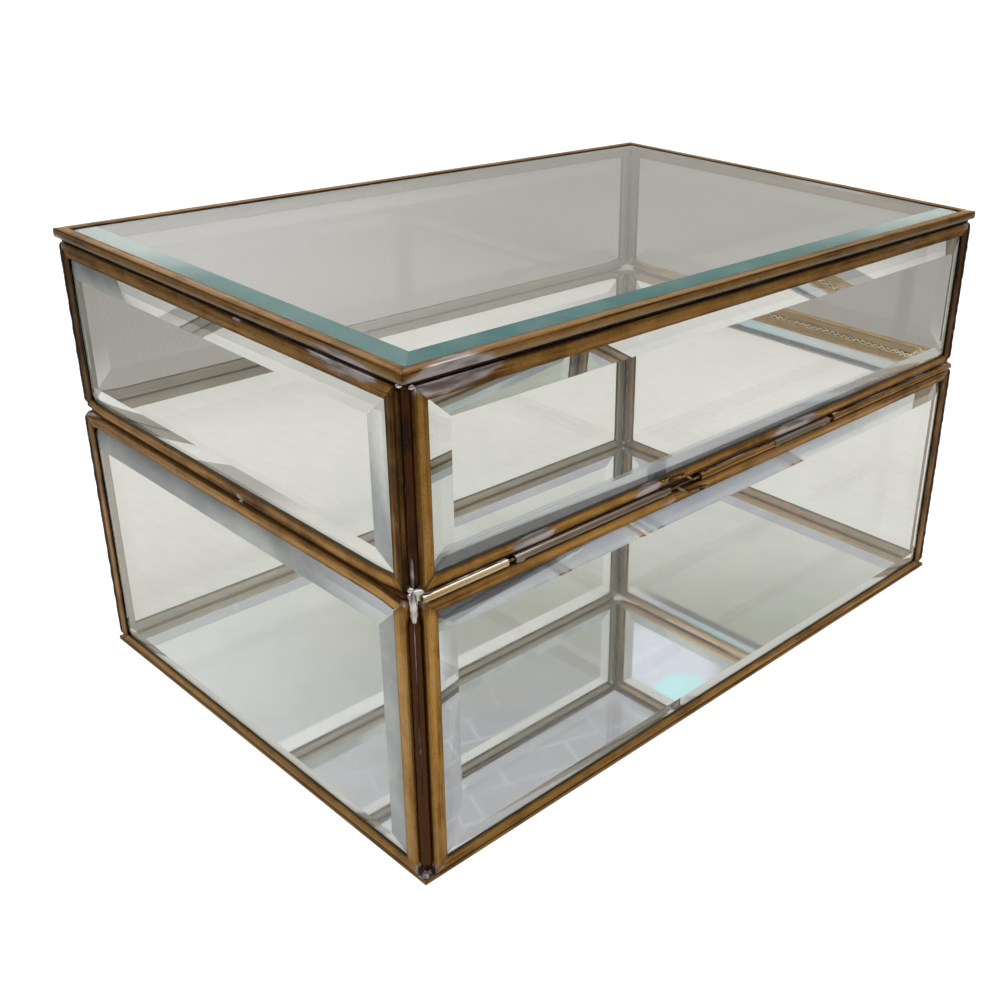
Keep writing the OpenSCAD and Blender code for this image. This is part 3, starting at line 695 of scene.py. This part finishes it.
seed = 11
for body, wallZ, wallH, legs, bodyW, bodyD in (
        ("base", box["baseZ"], box["baseWall"], legBase, box["width"], box["depth"]),
        ("lid", box["lidZ"], box["lidWall"], legLid, lidWidth, lidDepth)):
    for side, (sideways, outwards) in facing.items():
        across = bodyW if side in ("front", "back") else bodyD
        reach = (bodyD if side in ("front", "back") else bodyW) / 2 - box["channelDepth"]
        middle = outwards * reach + np.array([0, 0, wallZ + wallH / 2])
        # the hinged back walls, and the base's left wall where the chain lies, are straight
        lean = 0.0 if side == "back" or (side, body) == ("left", "base") else channel["bow"]
        bows = (lean, 0) if body == "base" else (0, lean)
        framePanel(f"{body}_{side}_channel", f"{body}_{side}_came_{{}}", body,
                   (across - 2 * box["notch"], wallH), legs, wallSection, middle, sideways, axisZ, outwards,
                   edgeNames[side], seed, (channel[body + "Rail"], channel[body + "Post"]), bows)
        seed += 4
flatEdges = ("back", "front", "right", "left")
framePanel("lid_top_channel", "lid_top_came_{}", "lid", (lidWidth, lidDepth), legFlat, wallSection,
           (0, 0, box["topZ"]), axisX, axisY, axisZ, flatEdges, seed,
           (channel["topRail"], channel["topRail"]))
mirrorSize = (box["width"] - 2 * box["mirrorSetback"], box["depth"] - 2 * box["mirrorSetback"])
framePanel("mirror_channel", "mirror_frame", "base", mirrorSize, legFlat, mirrorSection,
           (0, 0, 0), axisX, axisY, axisZ, flatEdges, seed + 4,
           (channel["mirrorRail"], channel["mirrorRail"]))
print("casket: 40 channel strips made")


def bead(path, outwards, halfWidth, height, seed, paintedLightLevel, taper=0.25, lump=0.18, every=0.8, sides=12):
    # a run of solder: an ellipse of halfWidth by height carried along the path, both swollen by smooth
    # noise, and drawn in towards the ends as sqrt(1 - d d) over the share taper of its length
    path = np.array(path, float)
    run = runOf(path)
    count = max(int(run[-1] / every), 8)
    t = 0.5 - 0.5 * np.cos(np.linspace(0, np.pi, count))
    t = 0.5 * t + 0.5 * np.linspace(0, 1, count)
    centre = pointsAt(path, run, t * run[-1])
    tangent = np.gradient(centre, axis=0)
    tangent /= np.linalg.norm(tangent, axis=1)[:, None]
    out = np.array(outwards, float) - (tangent @ np.array(outwards, float))[:, None] * tangent
    out /= np.linalg.norm(out, axis=1)[:, None]
    across = np.cross(tangent, out)
    closeTo = np.clip(np.minimum(t, 1 - t) / taper, 0, 1)
    size = np.maximum(np.sqrt(np.clip(1 - (1 - closeTo) ** 2, 0, 1)), 0.06)[:, None]
    a = np.linspace(0, 2 * np.pi, sides + 1)[:-1][None, :]
    place = t[:, None] * run[-1]
    waves = ripple(seed, place, 1.5 * np.cos(a), 1.5 * np.sin(a), longest=14, shortest=2.2)
    swell = size * (1 + lump * waves)
    points = (centre[:, None, :] + (halfWidth * swell * np.cos(a))[..., None] * across[:, None, :]
              + (height * swell * np.sin(a))[..., None] * out[:, None, :])
    faces = gridFaces(count, sides, closeColumns=True)[:, ::-1].tolist()
    faces.append(list(range(sides)))
    faces.append(list(range((count - 1) * sides, count * sides))[::-1])
    paintedLightValue = paintedLightLevel + 0.25 * ripple(seed + 3, place + 0 * a, longest=20, shortest=4)
    beadPlace = np.stack([place + 7.3 * seed + 0 * a, 1.8 * halfWidth * np.cos(a) + 0 * place,
                          1.8 * height * np.sin(a) + 0 * place], axis=-1)
    return points.reshape(-1, 3), faces, paintedLightValue.ravel(), beadPlace.reshape(-1, 3)


def joinBeads(name, beads, body, *replaced):
    pointSets, faceSets, paintedLightLevels, places = zip(*beads)
    firsts = np.cumsum([0] + [len(points) for points in pointSets])
    faces = [[index + first for index in face] for one, first in zip(faceSets, firsts) for face in one]
    piece = makeMesh(name, np.concatenate(pointSets) * mm, faces, greySolder, {
        "paintedLightLevel": np.concatenate(paintedLightLevels), "beadPlace": np.concatenate(places) * mm})
    carry(piece, body, "solder", *replaced)


# upright solder in the open corners: sign of x and y, how deep it sits inside the corner, its half sizes
# across and outwards, and its painted light level, low here for painted shade. The two corners at the sides
# are filled further out.
corners = {
    (1, 1): (3.2, 1.5, 0.7, -0.2), (1, -1): (2.7, 1.2, 2.6, -0.1),
    (-1, 1): (2.7, 1.2, 2.6, -0.15), (-1, -1): (3.4, 0.85, 0.9, 0.1),
}
hinge = {
    "y": 99.4, "z": 102.5, "radius": 1.3, "baseTubes": ((41.5, 111.5), (-52.3, -17.3)),
    "lidTubes": ((114.5, 146.0), (-16.8, 25.2), (-146.0, -55.3)),
}
baseBeads, lidBeads = [], []
# for each body's walls: half the width and depth, and the lowest and highest solder
walls = ((baseBeads, box["width"] / 2, box["depth"] / 2, box["baseZ"] + 0.3, baseTop - 0.2),
         (lidBeads, lidWidth / 2, lidDepth / 2, box["lidZ"] + 0.2, lidWallTop))
for (sx, sy), (deep, wide, out, paintedLightLevel) in corners.items():
    away = np.array([sx, sy, 0.0]) / np.sqrt(2)
    for beads, halfX, halfY, low, high in walls:
        x, y = sx * (halfX - deep), sy * (halfY - deep)
        beads.append(bead([(x, y, low), (x, y, high)], away, wide, out, 301 + len(beads), paintedLightLevel,
                          taper=0.03, lump=0.10))
        # dabs near both ends, made pale by a high level as painted highlights
        ends = ((low + 1.2, 1.15, 0.6), (high - 1.0, 1.05, 0.55))
        for k, (z, size, paintedLightValue) in enumerate(ends if (sx, sy) != (1, 1) else ()):
            path = [(x, y, z - 1.6), (x + 0.3 * sx, y + 0.3 * sy, z + 1.6)]
            beads.append(bead(path, away, size, size, 331 + len(beads) + k, paintedLightValue,
                              taper=0.5, lump=0.3, every=0.35))
# the seam under the top panel, this far inside the lid's faces; its bead is kept dark as painted shade
seamInset = 1.95
halfW, halfD = lidWidth / 2 - seamInset, lidDepth / 2 - seamInset
seamZ = (lidWallTop + box["topZ"]) / 2
seamRuns = (((-1, 1), (1, 1), axisY), ((-1, -1), (1, -1), -axisY), ((1, -1), (1, 1), axisX),
            ((-1, -1), (-1, 1), -axisX))
for k, (start, end, out) in enumerate(seamRuns):
    path = [(x * halfW, y * halfD, seamZ) for x, y in (start, end)]
    lidBeads.append(bead(path, out, 0.8, 0.9, 401 + k, -0.1, taper=0.01, lump=0.3, every=1.5, sides=8))
# a thin bed along each hinge tube, with a dab near both its ends; their levels paint the beds dark, as
# painted shade, and the dabs grey
for beads, tubes, side, paintedLightValue in (
        (baseBeads, hinge["baseTubes"], -1, 0.0), (lidBeads, hinge["lidTubes"], 1, 0.3)):
    y, z = hinge["y"], hinge["z"] + side * (hinge["radius"] + 0.12)
    for low, high in tubes:
        beads.append(bead([(low + 1, y, z), (high - 1, y, z)], axisY, 0.22, 0.5, 431 + len(beads), paintedLightValue,
                          taper=0.04, lump=0.12, every=1.5, sides=8))
        for end in (low + 2.6, high - 2.6):
            path = [(end - 2.2, y - 0.2, z), (end + 2.2, y - 0.2, z)]
            beads.append(bead(path, axisY, 0.36, 0.9, 461 + len(beads), 0.45,
                              taper=0.5, lump=0.2, every=0.4))
# dabs that hold the wires' tails
wireTails = ((baseBeads, (33.3, 100.6, 99.4), (21.5, 100.6, 97.9), 501),
             (lidBeads, (33.4, 99.85, 105.6), (45.2, 99.85, 107.1), 502))
for beads, start, end, tailSeed in wireTails:
    start, end = np.array(start), np.array(end)
    path = [start + 0.5 * (end - start), start + 0.88 * (end - start)]
    beads.append(bead(path, axisY, 0.8, 0.8, tailSeed, 0.35, taper=0.45, lump=0.12, every=0.35))
# lumps at the near corner, where the walls' solder meets the seam, the top and the foot: both ends, half
# width and painted light level, high here for painted highlights
nearCorner = np.array([1.0, 1.0, 0.0])
lumps = [
    (baseBeads, (147.5, 97.5, 94.0), (147.8, 97.6, 104.9), 1.15, 0.8),
    (lidBeads, (147.1, 97.0, 104.6), (147.0, 96.8, 115.0), 0.5, 0.5),
    (baseBeads, (148.4, 95.9, 103.3), (146.8, 98.0, 102.6), 1.0, 0.9),
    (lidBeads, (147.6, 97.4, 104.6), (144.6, 98.9, 104.3), 0.95, 0.9),
    (lidBeads, (147.9, 95.6, 104.8), (147.2, 97.6, 104.9), 0.95, 0.8),
    (baseBeads, (148.3, 98.3, 0.9), (148.7, 98.7, 3.9), 1.05, 0.6),
    (lidBeads, (148.4, 95.2, 165.8), (147.2, 96.6, 166.2), 0.75, 0.95),
    (lidBeads, (146.8, 98.6, 165.7), (144.9, 98.9, 165.9), 0.65, 0.95),
]
for k, (beads, start, end, size, paintedLightLevel) in enumerate(lumps):
    beads.append(bead([start, end], nearCorner, size, 0.8 * size, 551 + k, paintedLightLevel,
                      taper=0.45, lump=0.26, every=0.3))
# the base's near corner is covered dark brown by a very low level, with a thin pale run of solder down it
baseBeads.append(bead([(147.3, 97.3, 5.0), (147.3, 97.3, 96.0)], nearCorner, 1.75, 0.9, 571, -1.1,
                      taper=0.03, lump=0.06))
baseBeads.append(bead([(148.0, 98.0, 30.0), (148.0, 98.0, 96.0)], nearCorner, 0.26, 0.3, 573, 0.15,
                      taper=0.3, lump=0.3, every=1.2, sides=6))
# solder in the seam beside the near corner, on the base's wall, dark as painted shade so that the seam looks
# black
baseBeads.append(bead([(147.5, 79.0, 102.2), (147.5, 95.6, 102.3)], axisX, 1.3, 1.1, 565, -0.4,
                      taper=0.12, lump=0.06))
# a low bead along the top of each base wall closes the seam to the light, clear of the lid. Its level paints
# it dark, as painted shade, on the back, front and right walls, and paler, as painted light behind the chain,
# on the left one: ends, half width, height and painted light level
wallTops = (
    ((-145, 97.1, 102.35), (145, 97.1, 102.35), axisY, 1.4, 0.5, -0.4),
    ((-145, -98.0, 102.4), (145, -98.0, 102.4), -axisY, 0.55, 0.7, -0.4),
    ((148.0, -95, 102.4), (148.0, 80, 102.4), axisX, 0.55, 0.7, -0.4),
    ((-149.4, -95, 101.9), (-149.4, 95, 101.9), -axisX, 0.95, 0.35, 0.1),
)
for k, (start, end, out, halfWidth, height, paintedLightLevel) in enumerate(wallTops):
    baseBeads.append(bead([start, end], out, halfWidth, height, 611 + k, paintedLightLevel,
                          taper=0.02, lump=0.05, every=2.0, sides=8))
# the chain's ring is held in a lump on the lid's inner leg, near white as a painted highlight
lidBeads.append(bead([(-145.75, 91.6, 111.2), (-145.75, 94.3, 112.9)], axisX, 1.2, 0.55, 571, 0.9,
                     taper=0.5, every=0.3))
joinBeads("base_solder_work", baseBeads, "base", "base_solder")
joinBeads("lid_solder_work", lidBeads, "lid", "lid_solder")
studs = [(120, -98.3), (-120, -98.3), (148.3, 10), (-148.3, -60)]
joinBeads("rest_stud_work", [
    bead([(x, y, baseTop - 0.8), (x, y, baseTop + 1.9)], axisX, 0.95, 0.95, 581 + k, 0.75,
         taper=0.3, lump=0.1, every=0.3)
    for k, (x, y) in enumerate(studs)], "base", "rest_studs")
print("casket: solder laid")

# the stay chain in mm: the sizes of a link, its straight run along the base's left wall, and the ring
chain = {
    "pitch": 1.7, "length": 2.8, "width": 2.1, "wire": 0.62, "aroundLink": 12, "aroundWire": 5,
    "top": 100.9, "rise": 1.0, "x": -148.25, "inset": 0.95, "insetOver": 14.0, "from": -19.0, "to": 66.5,
    "ring": (-146.6, 92.95, 100.9), "fineStep": 0.1, "smoothOver": 17, "lookBack": 0.6, "twist": 0.6,
}
# points of the slack curled below the ring, measured from the ring's place
bight = np.array([
    [0.1, -23.0, 1.2], [1.2, -20.0, 1.3], [2.2, -17.5, 1.3], [2.6, -14.5, 1.5], [2.6, -12.0, 3.4],
    [2.2, -10.0, 5.4], [2.4, -7.6, 5.0], [3.2, -6.6, 2.6], [2.6, -8.8, 1.0], [1.6, -11.2, 2.0],
    [1.6, -9.6, 4.2], [2.6, -7.0, 3.6], [3.0, -4.6, 1.6], [2.8, -2.4, 2.6], [2.5, -0.8, 5.2],
    [2.4, 0, 9.2]]) + chain["ring"]


def chainLinks(name, path):
    # equal oval links at even steps along a smoothed path; every other one is turned a quarter round it.
    # A link is a thin ring: an ellipse carries a small five-sided wire
    run = runOf(path)
    fine = pointsAt(path, run, np.arange(0, run[-1], chain["fineStep"]))
    kernel = np.ones(chain["smoothOver"]) / chain["smoothOver"]
    margin = chain["smoothOver"] // 2
    padded = np.concatenate([fine[:1].repeat(margin, 0), fine, fine[-1:].repeat(margin, 0)])
    fine = np.stack([np.convolve(padded[:, k], kernel, mode="valid") for k in range(3)], axis=1)
    run = runOf(fine)
    count = int(run[-1] / chain["pitch"])
    at = (np.arange(count) + 0.5) * run[-1] / count
    centre = pointsAt(fine, run, at)
    tangent = centre - pointsAt(fine, run, at - chain["lookBack"])
    tangent /= np.linalg.norm(tangent, axis=1)[:, None]
    side = np.cross(tangent, axisX)
    side /= np.linalg.norm(side, axis=1)[:, None]
    upwards = np.cross(side, tangent)
    turn = np.where(np.arange(count) % 2 == 0, chain["twist"], chain["twist"] + np.pi / 2)
    turn = turn + 0.35 * ripple(61, at, longest=20, shortest=4)
    wide = np.cos(turn)[:, None] * side + np.sin(turn)[:, None] * upwards
    thick = np.cross(tangent, wide)
    a = np.linspace(0, 2 * np.pi, chain["aroundLink"] + 1)[:-1]
    b = np.linspace(0, 2 * np.pi, chain["aroundWire"] + 1)[:-1]
    wire = chain["wire"] / 2
    ringL, ringW = chain["length"] / 2 - wire, chain["width"] / 2 - wire
    length = ((ringL + wire * np.cos(b)) * np.cos(a)[:, None])
    width = ((ringW + wire * np.cos(b)) * np.sin(a)[:, None])
    depth = wire * np.sin(b) + 0 * a[:, None]
    points = (centre[:, None, None, :] + length[None, ..., None] * tangent[:, None, None, :]
              + width[None, ..., None] * wide[:, None, None, :]
              + depth[None, ..., None] * thick[:, None, None, :])
    one = gridFaces(len(a), len(b), closeRows=True, closeColumns=True)
    faces = (one[None] + (np.arange(count) * len(a) * len(b))[:, None, None]).reshape(-1, 4)
    piece = makeMesh(name, points.reshape(-1, 3) * mm, faces.tolist(), chainGold)
    print("casket: chain of", count, "links,", round(float(run[-1]), 1), "mm")
    return piece


alongSeam = np.linspace(chain["from"], chain["to"], 17)
drift = chain["inset"] * smooth((alongSeam - chain["from"]) / chain["insetOver"])
seamHeight = 0 * alongSeam + chain["top"] + chain["rise"]
straight = np.stack([chain["x"] + drift, alongSeam, seamHeight], axis=1)
stay = chainLinks("stay_chain_links", np.concatenate([straight, bight]))
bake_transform(stay)
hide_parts("stay_chain")

# the CAD solids that stay get their finishes
finishes = {
    "base_mirror": mirrorSilver, "lid_top_glass": topGlass, "chain_ring": chainGold,
    "chain_eye": chainGold, "hinge_wire_base": brownWire, "hinge_wire_lid": brownWire,
    "hinge_tube_base_1": tinnedTube, "hinge_tube_base_2": tinnedTube, "hinge_tube_lid_1": paleTube,
    **reflectionPaintedGlass,
}
for name, solid in nodes.items():
    finish = finishes.get(name)
    if finish is None and name.endswith("_glass"):
        finish = paneGlass
    if finish is None and name.startswith("hinge_tube"):
        finish = tubeBrass
    if finish is not None:
        for slot in solid.material_slots:
            slot.material = finish

print("casket: finished")
